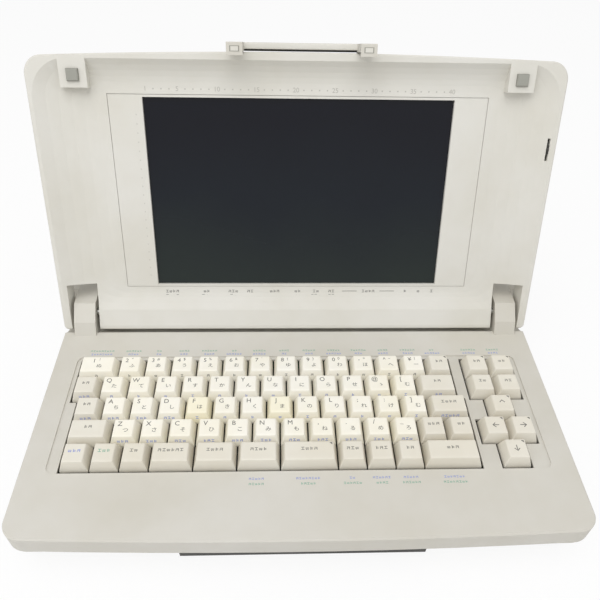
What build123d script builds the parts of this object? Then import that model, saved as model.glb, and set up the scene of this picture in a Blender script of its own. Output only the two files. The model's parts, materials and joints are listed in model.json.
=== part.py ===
from build123d import *
from math import acos, cos, pi, sin, sqrt
import os

# Portable electronic word processor, lid open. Millimetres. +X right, +Y away from the
# typist, +Z up. The origin is the centre of the footprint on the table.

# ---- overall
WIDTH = 344.0
DEPTH = 287.0
DECK_Z = 46.0                # keyboard deck above the table
FOOT_HEIGHT = 3.0
WALL = 2.4                   # wall of the base mouldings
FIT = 0.3                    # clearance between neighbouring mouldings
SEAT = 0.05                  # radial clearance of a shaft in its bore
FRONT_BOW = 3.6              # the front edge bows forward by this at its middle
FRONT_CORNER = 12.0
REAR_CORNER = 10.0
EDGE_ROUND = 1.0
CROWN_EDGE = 2.5             # bevel round the top of the printer housing
FRONT_Y = -DEPTH / 2
REAR_Y = DEPTH / 2

# ---- base mouldings
BAND = 14.0                  # height of the deck's vertical edge band
BAND_Z = DECK_Z - BAND
TONGUE = 5.0                 # the lower case reaches this far up inside the band
UNDERCUT = 16.0              # the lower case runs back under the front by this
FLOOR_Z = FOOT_HEIGHT + WALL
FOOT_RADIUS = 9.0
FOOT_SIDES = 16
FOOT_INSET = (38.0, 34.0)    # foot centres from the side and from the front or rear edge

# ---- hinge line
HINGE_FROM_FRONT = 177.2
HINGE_HEIGHT = 9.35          # above the deck
HINGE_Y = FRONT_Y + HINGE_FROM_FRONT
HINGE_Z = DECK_Z + HINGE_HEIGHT
OPEN_ANGLE = 111.0
TROUGH_RADIUS = 15.5         # the deck is hollowed for the lid's rear edge to turn in
REAR_WALL = 18.0             # front wall of the printer housing, behind the hinge axis
TOWER_CENTRE = 156.0
TOWER_WIDTH = 15.3
TOWER_REACH = 15.9           # foot of the tower's front, before the hinge axis
TOWER_STEP = (5.0, 8.6)      # the steep lower facet: run and rise
TOWER_SLOPE = (10.5, 9.6)    # the upper facet: run and rise
TOWER_WALL = 1.6
HINGE_SHAFT = 2.5
BRACKET_BARREL = 4.5
REAR_TOP = DECK_Z + TOWER_STEP[1] + TOWER_SLOPE[1]

# ---- lid, drawn closed and then opened about the hinge
RIM_GAP = 2.0                # closed rim above the deck
LID_OVERHANG = 11.2          # lid behind the hinge axis
LID_THICKNESS = 16.2
LID_WALL = 2.0
LID_PARTING = 9.0            # the front frame is this deep, the back shell takes the rest
LID_EDGE = 2.6
LID_RIM = 0.9
LID_REAR_CORNER = 3.0
LID_Z = DECK_Z + RIM_GAP
LID_TOP = LID_Z + LID_THICKNESS
LID_REAR = HINGE_Y + LID_OVERHANG
DISH = 7.5                   # depth of the hollow inner face
DISH_RIM = 3.0
DISH_SIDE = 44.5             # breadth of the slope at the sides, rear and free edge
DISH_REAR = 28.0
DISH_FRONT = 20.5
DISH_POWER = 2.5             # the slope is steep at the rim and dies away inwards
DISH_BANDS = 6
DISH_CORNER = 24.0
LID_SKIN = 1.6
SLOT_WIDTH = 20.3            # slots for the towers
SLOT_LENGTH = 34.0
EAR_RADIUS = 3.3

# ---- display
INSET = (248.0, 131.0)
INSET_FROM_REAR = 31.5
WINDOW = (204.0, 128.0)      # 640 by 400 dots at 0.32
WINDOW_FROM_REAR = 33.0
SEAM = 0.3
FLANGE = 0.8
GLASS = (212.0, 134.0, 2.0)
BACKLIGHT = 2.2
LID_BOARD_X = 115.5
PAD = (7.4, 7.2)
PAD_CENTRE = (142.0, 174.0)  # from the middle, and from the lid's rear edge
BOSS = (17.0, 19.0)
CONTRAST_FROM_REAR = 131.0
CONTRAST_RADIUS = 6.8
CONTRAST_WIDTH = 1.2
CONTRAST_TEETH = 16
CONTRAST_X = 166.6
CONTRAST_AXLE = 1.5

# ---- latch lever on the lid's free edge
LATCH_WIDTH = 90.0
LATCH_BLOCK = 9.8
LATCH_DEPTH = 5.2
LATCH_BAR = 3.0
LATCH_BAR_HEIGHT = 11.0
LATCH_NOSE = 2.4
LATCH_PIVOT = (3.2, 11.0)    # behind the lid's edge, above the rim
LATCH_PIN = 1.2
NOTCH_DEPTH = 6.2
LATCH_KNUCKLE = 1.8

# ---- keyboard
PITCH = 18.0
KEY_CENTRE_FROM_FRONT = 91.7
PANEL_RECESS = 0.8
PANEL_SIZE = (313.0, 95.0)
PANEL_SHIFT = 1.0
CUTOUT_GAP = 0.9
KEY_GAP = 1.0
KEY_TAPER = (4.6, 3.9)
KEY_TOP_SHIFT = 0.2
KEY_HEIGHT = 7.4             # above the recessed panel
KEY_SKIRT = 2.0              # below it
KEY_TRAVEL = 3.0
STEM = 5.0
STEM_GAP = 0.3
PLATE = 1.2
DOME_WIDTH = 6.0
DOME_HEIGHT = 1.0
DOME_SLOPE = 35.0
SHEET = 0.6
BOARD = 1.6
KEY_Y = FRONT_Y + KEY_CENTRE_FROM_FRONT
PANEL_Z = DECK_Z - PANEL_RECESS
PLATE_TOP = PANEL_Z - KEY_SKIRT - KEY_TRAVEL - 0.8
STEM_END = PLATE_TOP - PLATE - KEY_TRAVEL
SHEET_TOP = STEM_END - KEY_TRAVEL - DOME_HEIGHT - 0.3
KEYBOARD_BOARD = (308.0, 84.0)
GRID_COLUMNS = 17.0
GRID_ROWS = 5

# ---- carry handle, slides out of the front edge
HANDLE_WIDTH = 146.0
HANDLE_BAR = 9.5
HANDLE_HEIGHT = 10.2
HANDLE_SETBACK = 3.4
HANDLE_ARM_X = 53.5
HANDLE_ARM = (15.0, 46.0, 4.6)
HANDLE_ARM_DROP = 7.8        # arm centre below the top of the grip bar
HANDLE_DROP = 1.0            # below the band
HANDLE_TRAVEL = 30.0
HANDLE_GAP = 0.5

# ---- printer
PLATEN_Y = HINGE_Y + 66.0
PLATEN_Z = 42.0
PLATEN_RADIUS = 9.0
PLATEN_LENGTH = 224.0
PLATEN_SHAFT = 3.0
KNOB_RADIUS = 13.0
KNOB_FLUTES = 14
KNOB_WIDTH = 10.0
KNOB_X = 165.5
WELL = (14.6, 31.0, 34.0)    # recess for the paper knob: depth, length and height
CHASSIS_HALF = 122.0
CHASSIS_SHEET = 1.6
CHASSIS_Z = 14.0
CHASSIS_TOP = 56.0
CHASSIS_FRONT = HINGE_Y + 24.0
CHASSIS_REAR = HINGE_Y + 78.0
ROD_RADIUS = 3.0
ROD_Z = 26.0
ROD_Y = (HINGE_Y + 32.0, HINGE_Y + 50.0)
CARRIAGE = (62.0, 30.0, 12.0)
CARRIAGE_X = -60.0
CARRIAGE_TRAVEL = (-18.0, 138.0)
HEAD = (20.0, 9.6, 16.0)
CASSETTE = (78.0, 21.0, 13.0)
SPOOL = (5.0, 2.5, 3.0)      # recess and hub radius, and the recess's depth
SPOOL_X = 22.0
PAPER_SLOT = (228.0, 6.0)
PAPER_Y = PLATEN_Y + 18.3
COVER = (252.0, 56.0)
COVER_Y = HINGE_Y + 50.0
COVER_GAP = 0.4
COVER_PIN = 0.7

# ---- boards and fixings
BOSS_RADIUS = 4.0
SCREW = 1.5
SCREW_HEAD = (2.8, 2.0)
SCREW_SEAT = 7.0             # height of the seat under the screw heads
SCREW_BITE = 3.0             # the screws reach this far into the upper posts
POST_SPLIT = 30.0            # the two mouldings' screw posts meet at this height
POSTS = ((161.0, -122.0), (162.0, -6.0), (128.0, 132.0))
MAIN_BOARD = (250.0, 108.0)
MAIN_BOARD_Y = -28.0
BOARD_Z = 12.0
POWER_BOARD = (32.0, 50.0)
POWER_BOARD_PLACE = (-145.5, 98.0)
INLET_Z = 20.0
INLET_RADIUS = 2.8
INLET_PIN = 0.9
INLET_DEPTH = 9.0


# ---- helpers

def block(size, centre):
    """A box by its size and centre."""
    return Pos(*centre) * Box(*size)


def span(x, y, z):
    """A box by its low and high limits on each axis."""
    size = (x[1] - x[0], y[1] - y[0], z[1] - z[0])
    centre = ((x[0] + x[1]) / 2, (y[0] + y[1]) / 2, (z[0] + z[1]) / 2)
    return block(size, centre)


def rod(radius, x, y, z):
    """A round bar along X between two limits, at a place in Y and Z."""
    return Pos((x[0] + x[1]) / 2, y, z) * Rot(0, 90, 0) * Cylinder(radius, x[1] - x[0])


def post(radius, place, low, high, sides=6):
    """An upright bar with flat sides at a plan position."""
    return Pos(place[0], place[1], low) * extrude(RegularPolygon(radius, sides), high - low)


def fluted(radius, depth, count, x, y, z):
    """A wheel about X with a zigzag rim, between two limits."""
    points = []
    for i in range(2 * count):
        reach = radius - depth * (i % 2)
        turn = pi * i / count
        points.append((reach * cos(turn), reach * sin(turn)))
    face = make_face(Polyline(*points, close=True).edges())
    return side_prism(Pos(y, z) * face, x)


def mirrored(solid):
    """A solid and its mirror image on the other side of the middle plane."""
    return solid + mirror(solid, about=Plane.YZ)


def outline(inset, rear, rear_radius):
    """Plan outline with straight sides, a bowed front edge and rounded corners."""
    half = WIDTH / 2 - inset
    front = FRONT_Y + inset
    shoulder = front + FRONT_BOW
    edges = Polyline((half, shoulder), (half, rear), (-half, rear), (-half, shoulder))
    edges += ThreePointArc((-half, shoulder), (0, front), (half, shoulder))
    face = make_face(edges.edges())
    corners = face.vertices().sort_by(Axis.Y)
    face = fillet(corners[:2], FRONT_CORNER - inset)
    corners = face.vertices().sort_by(Axis.Y)
    return fillet(corners[-2:], max(rear_radius - inset, 0.5))


def prism(face, low, high):
    """A plan outline carried up from one height to another."""
    return extrude(Pos(0, 0, low) * face, high - low)


def side_prism(face, x):
    """A side-view outline carried along X between two limits."""
    return Pos(x[0], 0, 0) * extrude(Plane.YZ * face, x[1] - x[0])


def at_hinge(solid):
    """The lid's pieces are drawn closed: this opens them about the hinge."""
    return solid.rotate(Axis((0, HINGE_Y, HINGE_Z), (1, 0, 0)), -OPEN_ANGLE)


def save(solid, name):
    """Writes one node."""
    export_step(solid, f"parts/{name}.step")
    print(name, round(solid.volume))


# ---- base mouldings

def case_profile(wall):
    """Side view of the top case: deck, hinge trough and raised printer housing."""
    radius = TROUGH_RADIUS + wall
    deck = DECK_Z - wall
    top = REAR_TOP - wall
    lip = HINGE_Y - sqrt(radius ** 2 - (HINGE_Z - deck) ** 2)
    rise = HINGE_Y + REAR_WALL + wall
    low = HINGE_Z - radius
    far = DEPTH
    edges = Polyline((HINGE_Y, low), (rise, low), (rise, top), (far, top), (far, 0),
                     (-far, 0), (-far, deck), (lip, deck))
    middle = (HINGE_Y + lip) / 2
    bulge = HINGE_Z - sqrt(radius ** 2 - (HINGE_Y - middle) ** 2)
    edges += ThreePointArc((lip, deck), (middle, bulge), (HINGE_Y, low))
    return make_face(edges.edges())


def tower_profile(wall):
    """Side view of a hinge tower: a steep facet, a sloped facet and a level top."""
    foot = HINGE_Y - TOWER_REACH + wall
    step = foot + TOWER_STEP[0]
    crest = step + TOWER_SLOPE[0]
    back = HINGE_Y + REAR_WALL + 2 * WALL
    base = DECK_Z - BAND / 2 - 3 * wall
    points = [(foot, base), (foot, DECK_Z), (step, DECK_Z + TOWER_STEP[1] - wall / 2),
              (crest, REAR_TOP - wall), (back, REAR_TOP - wall), (back, base)]
    return make_face(Polyline(*points, close=True).edges())


def tower(wall):
    """One hinge tower, or with a wall its inside, on the right."""
    half = TOWER_WIDTH / 2 - wall
    limits = (TOWER_CENTRE - half, TOWER_CENTRE + half)
    return side_prism(tower_profile(wall), limits)


def row_limits(first, last, row_from, row_to):
    """A rectangle of the key grid as limits in X and Y."""
    left = (first - GRID_COLUMNS / 2) * PITCH
    right = (last - GRID_COLUMNS / 2) * PITCH
    back = KEY_Y + (GRID_ROWS / 2 - row_from) * PITCH
    front = KEY_Y + (GRID_ROWS / 2 - row_to) * PITCH
    return (left, right), (front, back)


CUTOUTS = ((0, 14.5, 0, 2), (0.25, 14.75, 2, 5), (15, 17, 0, 2), (15.5, 16.5, 2, 3),
           (15, 17, 3, 4), (15.5, 16.5, 4, 5))


def key_cutouts(low, high):
    """The openings that the key blocks rise through."""
    holes = Part()
    for cell in CUTOUTS:
        x, y = row_limits(*cell)
        grown_x = (x[0] - CUTOUT_GAP, x[1] + CUTOUT_GAP)
        grown_y = (y[0] - CUTOUT_GAP, y[1] + CUTOUT_GAP)
        holes += span(grown_x, grown_y, (low, high))
    return holes


def top_case():
    """Deck, band, trough, towers and printer housing in one moulding."""
    plan = outline(0, REAR_Y, REAR_CORNER)
    width = (-WIDTH, WIDTH)
    shell = prism(plan, BAND_Z, REAR_TOP) & side_prism(case_profile(0), width)
    rim = shell.edges().filter_by_position(Axis.Z, DECK_Z - 0.1, DECK_Z + 0.1)
    rim = rim.filter_by(lambda e: e.center().Y < HINGE_Y - TROUGH_RADIUS + 1)
    shell = chamfer(rim, EDGE_ROUND)
    crown = shell.edges().filter_by_position(Axis.Z, REAR_TOP - 0.1, REAR_TOP + 0.1)
    shell = chamfer(crown, CROWN_EDGE)
    hollow = prism(outline(WALL, REAR_Y - WALL, REAR_CORNER), 0, REAR_TOP)
    hollow &= side_prism(case_profile(WALL), width)
    towers = [tower(0), mirror(tower(0), about=Plane.YZ)]
    cores = [tower(TOWER_WALL), mirror(tower(TOWER_WALL), about=Plane.YZ)]
    case = shell - hollow
    case += [t & prism(plan, BAND_Z, REAR_TOP) for t in towers]
    case -= cores
    case -= hinge_bores()
    panel = RectangleRounded(*PANEL_SIZE, 5.0)
    case -= prism(Pos(0, KEY_Y + PANEL_SHIFT) * panel, PANEL_Z, DECK_Z + 1)
    case -= key_cutouts(DECK_Z - 2 * WALL, DECK_Z + 1)
    return finish_top_case(case)


def hinge_bores():
    """Clearance for the hinge shafts in the inner walls of towers and lid."""
    x = (TOWER_CENTRE - SLOT_WIDTH / 2 - 2 * LID_WALL, TOWER_CENTRE)
    bore = rod(HINGE_SHAFT + FIT, x, HINGE_Y, HINGE_Z)
    return [bore, mirror(bore, about=Plane.YZ)]


def post_places():
    """Plan positions of the screw posts that join the two mouldings."""
    return [(side * x, y) for x, y in POSTS for side in (-1, 1)]


def tube(outer, inner, place, low, high):
    """A hollow screw post at a plan position."""
    return post(outer, place, low, high) - post(inner, place, low, high)


def knob_well(grown, z):
    """The recess in the right side for the paper knob."""
    back = WIDTH / 2 - WELL[0] - grown
    y = (PLATEN_Y - WELL[1] / 2 - grown, PLATEN_Y + WELL[1] / 2 + grown)
    low = max(z[0], PLATEN_Z - WELL[2] / 2 - grown)
    high = min(z[1], PLATEN_Z + WELL[2] / 2 + grown)
    side = WIDTH / 2 - 1 if grown else WIDTH
    return span((back, side), y, (low, high))


def rear_openings():
    """Cover opening and paper slot in the top of the printer housing."""
    size = (COVER[0], COVER[1], 4 * WALL)
    slot = (PAPER_SLOT[0], PAPER_SLOT[1], 4 * WALL)
    return block(size, (0, COVER_Y, REAR_TOP)) + block(slot, (0, PAPER_Y, REAR_TOP))


def cover_axis():
    """Hinge line of the printer cover, in Y and Z."""
    return COVER_Y + COVER[1] / 2 - COVER_GAP - WALL / 2, REAR_TOP - WALL / 2


def cover_lugs():
    """Lugs under the housing's top that carry the cover's pins."""
    y, z = cover_axis()
    half = COVER[0] / 2
    lug = span((half, half + 5), (y - 3, y + 3), (z - 3, REAR_TOP - WALL / 2))
    hole = rod(COVER_PIN + SEAT, (half - 1, half + 4), y, z)
    return [lug, mirror(lug, about=Plane.YZ)], [hole, mirror(hole, about=Plane.YZ)]


def finish_top_case(case):
    """Screw posts, knob recess and the openings of the printer housing."""
    top = DECK_Z - WALL / 2
    for place in post_places():
        high = REAR_TOP - WALL / 2 if place[1] > HINGE_Y + REAR_WALL else top
        case += tube(BOSS_RADIUS, SCREW + SEAT, place, POST_SPLIT, high)
    tongue = BAND_Z + TONGUE + FIT
    case += knob_well(WALL, (tongue, REAR_TOP))
    case -= knob_well(0, (0, REAR_TOP))
    case -= rod(PLATEN_SHAFT + FIT, (0, WIDTH), PLATEN_Y, PLATEN_Z)
    lugs, holes = cover_lugs()
    case += lugs
    case -= rear_openings()
    return case - holes


CASE_INSET = WALL + FIT


def lower_profile(wall):
    """Side view of the bottom case: the front runs back under the deck's band."""
    low = FOOT_HEIGHT + wall
    front = FRONT_Y + CASE_INSET + wall
    high = BAND_Z + TONGUE
    slope = BAND_Z - 1.0
    toe = front + UNDERCUT
    points = [(front, high), (front, slope), (toe, low), (DEPTH, low), (DEPTH, high)]
    return make_face(Polyline(*points, close=True).edges())


def handle_box(grown, z=0.0):
    """The grip bar's space behind the front lip."""
    half = HANDLE_WIDTH / 2 + grown
    front = FRONT_Y + HANDLE_SETBACK
    high = BAND_Z - HANDLE_DROP + grown
    low = BAND_Z - HANDLE_DROP - HANDLE_HEIGHT - grown
    return span((-half, half), (front - z, front + HANDLE_BAR + grown), (low, high))


def arm_box(grown, start=0.0, stop=0.0):
    """The right arm's space behind the grip bar."""
    half = HANDLE_ARM[0] / 2 + grown
    x = (HANDLE_ARM_X - half, HANDLE_ARM_X + half)
    root = FRONT_Y + HANDLE_SETBACK + HANDLE_BAR
    middle = BAND_Z - HANDLE_DROP - HANDLE_ARM_DROP
    z = (middle - HANDLE_ARM[2] / 2 - grown, middle + HANDLE_ARM[2] / 2 + grown)
    return span(x, (root - start, root + HANDLE_ARM[1] + stop), z)


def handle_guides():
    """Guide sleeves of the handle's arms, standing on the floor."""
    sleeve = arm_box(HANDLE_GAP + WALL, 0, 0)
    box = sleeve.bounding_box()
    foot = span((box.min.X, box.max.X), (box.min.Y, box.max.Y), (FLOOR_Z - 1, box.max.Z))
    return foot - arm_box(HANDLE_GAP, 10, -WALL)


def bottom_case():
    """Tray under the keyboard and printer, with handle pocket and posts."""
    width = (-WIDTH, WIDTH)
    top = BAND_Z + TONGUE
    outer = prism(outline(CASE_INSET, REAR_Y - CASE_INSET, REAR_CORNER), 0, top)
    outer &= side_prism(lower_profile(0), width)
    inset = CASE_INSET + WALL
    core = prism(outline(inset, REAR_Y - inset, REAR_CORNER), 0, top + 1)
    core &= side_prism(lower_profile(WALL), width)
    core -= handle_box(HANDLE_GAP + WALL, WIDTH)
    core -= knob_well(WALL, (0, top))
    sleeve = handle_guides()
    case = outer - core
    case += [sleeve, mirror(sleeve, about=Plane.YZ)]
    for place in post_places():
        case += tube(BOSS_RADIUS, SCREW + SEAT, place, FLOOR_Z - 1, POST_SPLIT)
    for place in board_posts():
        case += post(BOSS_RADIUS, place, FLOOR_Z - 1, BOARD_Z)
    for x in (-CHASSIS_HALF + 8, CHASSIS_HALF - 8):
        for y in (CHASSIS_FRONT + 6, CHASSIS_REAR - 6):
            case += post(BOSS_RADIUS, (x, y), FLOOR_Z - 1, CHASSIS_Z)
    bracket = span((TOWER_CENTRE - 7, TOWER_CENTRE + 7), (HINGE_Y - 9, HINGE_Y + 9),
                   (FLOOR_Z - 1, BOARD_Z))
    case += [bracket, mirror(bracket, about=Plane.YZ)]
    case -= handle_box(HANDLE_GAP, WIDTH)
    arms = arm_box(HANDLE_GAP, 10, -WALL)
    case -= [arms, mirror(arms, about=Plane.YZ)]
    case -= knob_well(0, (0, top + 1))
    case -= rod(PLATEN_SHAFT + FIT, (0, WIDTH), PLATEN_Y, PLATEN_Z)
    for place in post_places():
        case -= post(SCREW_HEAD[0] + FIT, place, 0, SCREW_SEAT)
        case -= post(SCREW + SEAT, place, 0, POST_SPLIT)
    inlet = Pos(POWER_BOARD_PLACE[0], INLET_Z) * RegularPolygon(INLET_RADIUS + 1, 12)
    return case - Pos(0, REAR_Y + 1, 0) * extrude(Plane.XZ * inlet, 3 * WALL)


def foot_places():
    """Plan positions of the four feet."""
    x = WIDTH / 2 - FOOT_INSET[0]
    y = DEPTH / 2 - FOOT_INSET[1]
    return [(i, j) for i in (-x, x) for j in (-y, y)]


def rubber_feet():
    """Four feet under the corners of the floor."""
    return Compound(children=[post(FOOT_RADIUS, place, 0, FOOT_HEIGHT, FOOT_SIDES)
                              for place in foot_places()])


def case_screws():
    """Screws that hold the two mouldings together."""
    screws = []
    for place in post_places():
        head = post(SCREW_HEAD[0], place, SCREW_SEAT - SCREW_HEAD[1], SCREW_SEAT)
        screws.append(head + post(SCREW, place, SCREW_SEAT, POST_SPLIT + SCREW_BITE))
    return Compound(children=screws)


# ---- hinge brackets, in the base

def hinge_brackets():
    """Barrels for the lid's shafts on uprights that stand on the floor."""
    half = TOWER_WIDTH / 2 - TOWER_WALL - FIT
    x = (TOWER_CENTRE - half, TOWER_CENTRE + half)
    barrel = side_prism(Pos(HINGE_Y, HINGE_Z) * RegularPolygon(BRACKET_BARREL, 8), x)
    web = span((TOWER_CENTRE - 2, TOWER_CENTRE + 2), (HINGE_Y - 4.5, HINGE_Y + 4.5),
               (BOARD_Z, HINGE_Z))
    flange = span((TOWER_CENTRE - 7, TOWER_CENTRE + 7), (HINGE_Y - 9, HINGE_Y + 9),
                  (BOARD_Z, BOARD_Z + 2))
    bracket = barrel + web + flange - rod(HINGE_SHAFT + SEAT, (0, WIDTH), HINGE_Y, HINGE_Z)
    return mirrored(bracket)


# ---- keyboard

def cap_view(width, taper, shift):
    """Front or side view of a key cap: upright skirt and two sloping faces."""
    half = width / 2
    crown = half - taper / 2
    low = PANEL_Z - KEY_SKIRT
    high = PANEL_Z + KEY_HEIGHT
    points = [(-half, low), (half, low), (half, PANEL_Z), (shift + crown, high),
              (shift - crown, high), (-half, PANEL_Z)]
    return make_face(Polyline(*points, close=True).edges())


def key(first, last, row):
    """One key: a tapered cap on the stem that the key plate guides."""
    x, y = row_limits(first, last, row, row + 1)
    width = x[1] - x[0] - KEY_GAP
    depth = PITCH - KEY_GAP
    cap = extrude(Plane.XZ * cap_view(width, KEY_TAPER[0], 0), depth, both=True)
    cap &= side_prism(cap_view(depth, KEY_TAPER[1], KEY_TOP_SHIFT), (-width, width))
    cap += prism(Rectangle(STEM, STEM), STEM_END, PANEL_Z)
    return Pos((x[0] + x[1]) / 2, (y[0] + y[1]) / 2) * cap


def row_cells(row, start, widths):
    """Cells of one row from their widths, as (first, last, row)."""
    cells = []
    for width in widths:
        cells.append((start, start + width, row))
        start += width
    return cells


ROW_1 = row_cells(0, 0, [1.5] + 13 * [1])
ROW_2 = row_cells(1, 0, 13 * [1] + [1.5])
ROW_3 = row_cells(2, 0.25, 13 * [1] + [1.5])
ROW_4 = row_cells(3, 0.25, [1.5] + 13 * [1])
ROW_5 = row_cells(4, 0.25, [1, 1, 1, 1.5, 1.5, 1.5, 2, 1, 1, 1, 2])
KEY_NODES = {
    "keys_numbers": ROW_1[:13],
    "keys_letters_upper": ROW_2[1:13],
    "keys_letters_home": ROW_3[1:13],
    "keys_letters_lower": ROW_4[1:12],
    "key_tab": ROW_2[:1],
    "key_caps": ROW_3[:1],
    "key_shift": ROW_4[:1],
    "key_backspace": ROW_1[13:],
    "key_upper_right": ROW_2[13:],
    "key_enter": ROW_3[13:],
    "keys_lower_right": ROW_4[12:],
    "keys_function": ROW_5[:6] + ROW_5[7:10],
    "key_space": ROW_5[6:7],
    "key_function_wide": ROW_5[10:],
    "keys_edit": [(x, x + 1, row) for row in (0, 1) for x in (15, 16)],
    "key_up": [(15.5, 16.5, 2)],
    "key_left": [(15, 16, 3)],
    "key_right": [(16, 17, 3)],
    "key_down": [(15.5, 16.5, 4)],
}


def stem_places():
    """Plan positions of all the key stems."""
    places = []
    for cells in KEY_NODES.values():
        for first, last, row in cells:
            x, y = row_limits(first, last, row, row + 1)
            places.append(((x[0] + x[1]) / 2, (y[0] + y[1]) / 2))
    return places


def keyboard_plan(grown):
    """Plan rectangle shared by the key plate, dome sheet and circuit board."""
    size = (KEYBOARD_BOARD[0] + 2 * grown, KEYBOARD_BOARD[1] + 2 * grown)
    return Pos(0, KEY_Y) * Rectangle(*size)


def key_plate():
    """Moulded tray that guides the stems and stands on the dome sheet."""
    plate = prism(keyboard_plan(0), SHEET_TOP, PLATE_TOP)
    plate -= prism(keyboard_plan(-2), SHEET_TOP - 1, PLATE_TOP - PLATE)
    hole = STEM + 2 * STEM_GAP
    holes = [Pos(x, y, PLATE_TOP) * Box(hole, hole, 3 * PLATE) for x, y in stem_places()]
    return plate - holes


def key_dome_sheet():
    """Rubber sheet with one dome under each stem."""
    sheet = prism(keyboard_plan(0), SHEET_TOP - SHEET, SHEET_TOP)
    domes = []
    for x, y in stem_places():
        foot = Pos(x, y, SHEET_TOP) * Rectangle(DOME_WIDTH, DOME_WIDTH)
        domes.append(extrude(foot, DOME_HEIGHT, taper=DOME_SLOPE))
    return sheet + domes


def keyboard_circuit_board():
    """Contact board under the dome sheet."""
    top = SHEET_TOP - SHEET
    board = prism(keyboard_plan(0), top - BOARD, top)
    connector = block((40, 6, 5), (-60, KEY_Y + 38, top - BOARD - 2.5))
    return board + connector


# ---- boards

def board_posts():
    """Plan positions of the posts under the main and power boards."""
    x = MAIN_BOARD[0] / 2 - 6
    y = MAIN_BOARD[1] / 2 - 6
    places = [(i, MAIN_BOARD_Y + j) for i in (-x, x) for j in (-y, y)]
    u = POWER_BOARD[0] / 2 - 5
    v = POWER_BOARD[1] / 2 - 5
    a, b = POWER_BOARD_PLACE
    return places + [(a + i, b + j) for i in (-u, u) for j in (-v, v)]


def main_board():
    """Logic board with its packages and connectors."""
    top = BOARD_Z + BOARD
    board = block((MAIN_BOARD[0], MAIN_BOARD[1], BOARD),
                  (0, MAIN_BOARD_Y, BOARD_Z + BOARD / 2))
    parts = [block((24, 24, 3), (-40, MAIN_BOARD_Y, top + 1.5))]
    parts += [block((36, 14, 4), (20 + 45 * i, MAIN_BOARD_Y - 20 + 26 * j, top + 2))
              for i in range(2) for j in range(3)]
    parts += [block((14, 7, 3), (-90, MAIN_BOARD_Y - 30 + 16 * i, top + 1.5))
              for i in range(4)]
    parts.append(block((40, 8, 8), (-60, MAIN_BOARD_Y + 46, top + 4)))
    return board + parts


def power_board():
    """Power supply board with its transformer, coil and capacitors."""
    x, y = POWER_BOARD_PLACE
    top = BOARD_Z + BOARD
    board = block((POWER_BOARD[0], POWER_BOARD[1], BOARD), (x, y, BOARD_Z + BOARD / 2))
    parts = [block((26, 22, 18), (x, y - 14, top + 9)),
             post(5, (x - 8, y + 8), top, top + 18),
             post(4, (x + 6, y + 8), top, top + 14)]
    return board + parts


def power_inlet():
    """Round power jack behind the rear wall, standing on the power board."""
    x, y = POWER_BOARD_PLACE
    rear = REAR_Y - 2 * WALL - FIT - SEAT
    board_end = y + POWER_BOARD[1] / 2
    top = BOARD_Z + BOARD
    body = span((x - 5.5, x + 5.5), (board_end - 12, rear), (top, INLET_Z + 5.5))
    jack = Pos(x, INLET_Z) * RegularPolygon(INLET_RADIUS, 12)
    pin = Pos(x, INLET_Z) * RegularPolygon(INLET_PIN, 6)
    body -= Pos(0, rear, 0) * extrude(Plane.XZ * jack, INLET_DEPTH)
    return body + Pos(0, rear, 0) * extrude(Plane.XZ * pin, INLET_DEPTH)


# ---- printer

def printer_chassis():
    """Folded sheet frame: floor and two side plates with the platen's bearings."""
    x = (-CHASSIS_HALF, CHASSIS_HALF)
    y = (CHASSIS_FRONT, CHASSIS_REAR)
    frame = span(x, y, (CHASSIS_Z, CHASSIS_Z + CHASSIS_SHEET))
    for side in (-1, 1):
        outer = side * CHASSIS_HALF
        inner = side * (CHASSIS_HALF - CHASSIS_SHEET)
        frame += span((min(outer, inner), max(outer, inner)), y, (CHASSIS_Z, CHASSIS_TOP))
    return frame - rod(PLATEN_SHAFT + SEAT, (-WIDTH / 2, WIDTH / 2), PLATEN_Y, PLATEN_Z)


def guide_rods():
    """Two carriage rods held between the side plates."""
    inner = CHASSIS_HALF - CHASSIS_SHEET
    return Compound(children=[rod(ROD_RADIUS, (-inner, inner), y, ROD_Z) for y in ROD_Y])


def platen_roller():
    """Rubber roller on its steel shaft, which runs out to the knob."""
    half = PLATEN_LENGTH / 2
    roller = rod(PLATEN_RADIUS, (-half, half), PLATEN_Y, PLATEN_Z)
    return roller + rod(PLATEN_SHAFT, (-CHASSIS_HALF - 3, KNOB_X), PLATEN_Y, PLATEN_Z)


def paper_knob():
    """Fluted knob on the right end of the platen shaft."""
    low = KNOB_X - KNOB_WIDTH / 2
    high = KNOB_X + KNOB_WIDTH / 2
    knob = fluted(KNOB_RADIUS, 1.0, KNOB_FLUTES, (low, high), PLATEN_Y, PLATEN_Z)
    knob = chamfer(knob.faces().sort_by(Axis.X)[-1].edges(), 1.2)
    return knob - rod(PLATEN_SHAFT, (low - 1, KNOB_X), PLATEN_Y, PLATEN_Z)


def print_carriage():
    """Carriage block with a bore for the rear rod and a fork over the front one."""
    middle = (ROD_Y[0] + ROD_Y[1]) / 2
    body = block(CARRIAGE, (CARRIAGE_X, middle, ROD_Z))
    gap = ROD_RADIUS + SEAT
    body -= span((-WIDTH, WIDTH), (0, ROD_Y[0] + gap), (ROD_Z - gap, ROD_Z + gap))
    return body - rod(gap, (-WIDTH, WIDTH), ROD_Y[1], ROD_Z)


def head_front():
    """The print head's face, a little in front of the platen."""
    return PLATEN_Y - PLATEN_RADIUS - 0.8


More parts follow.
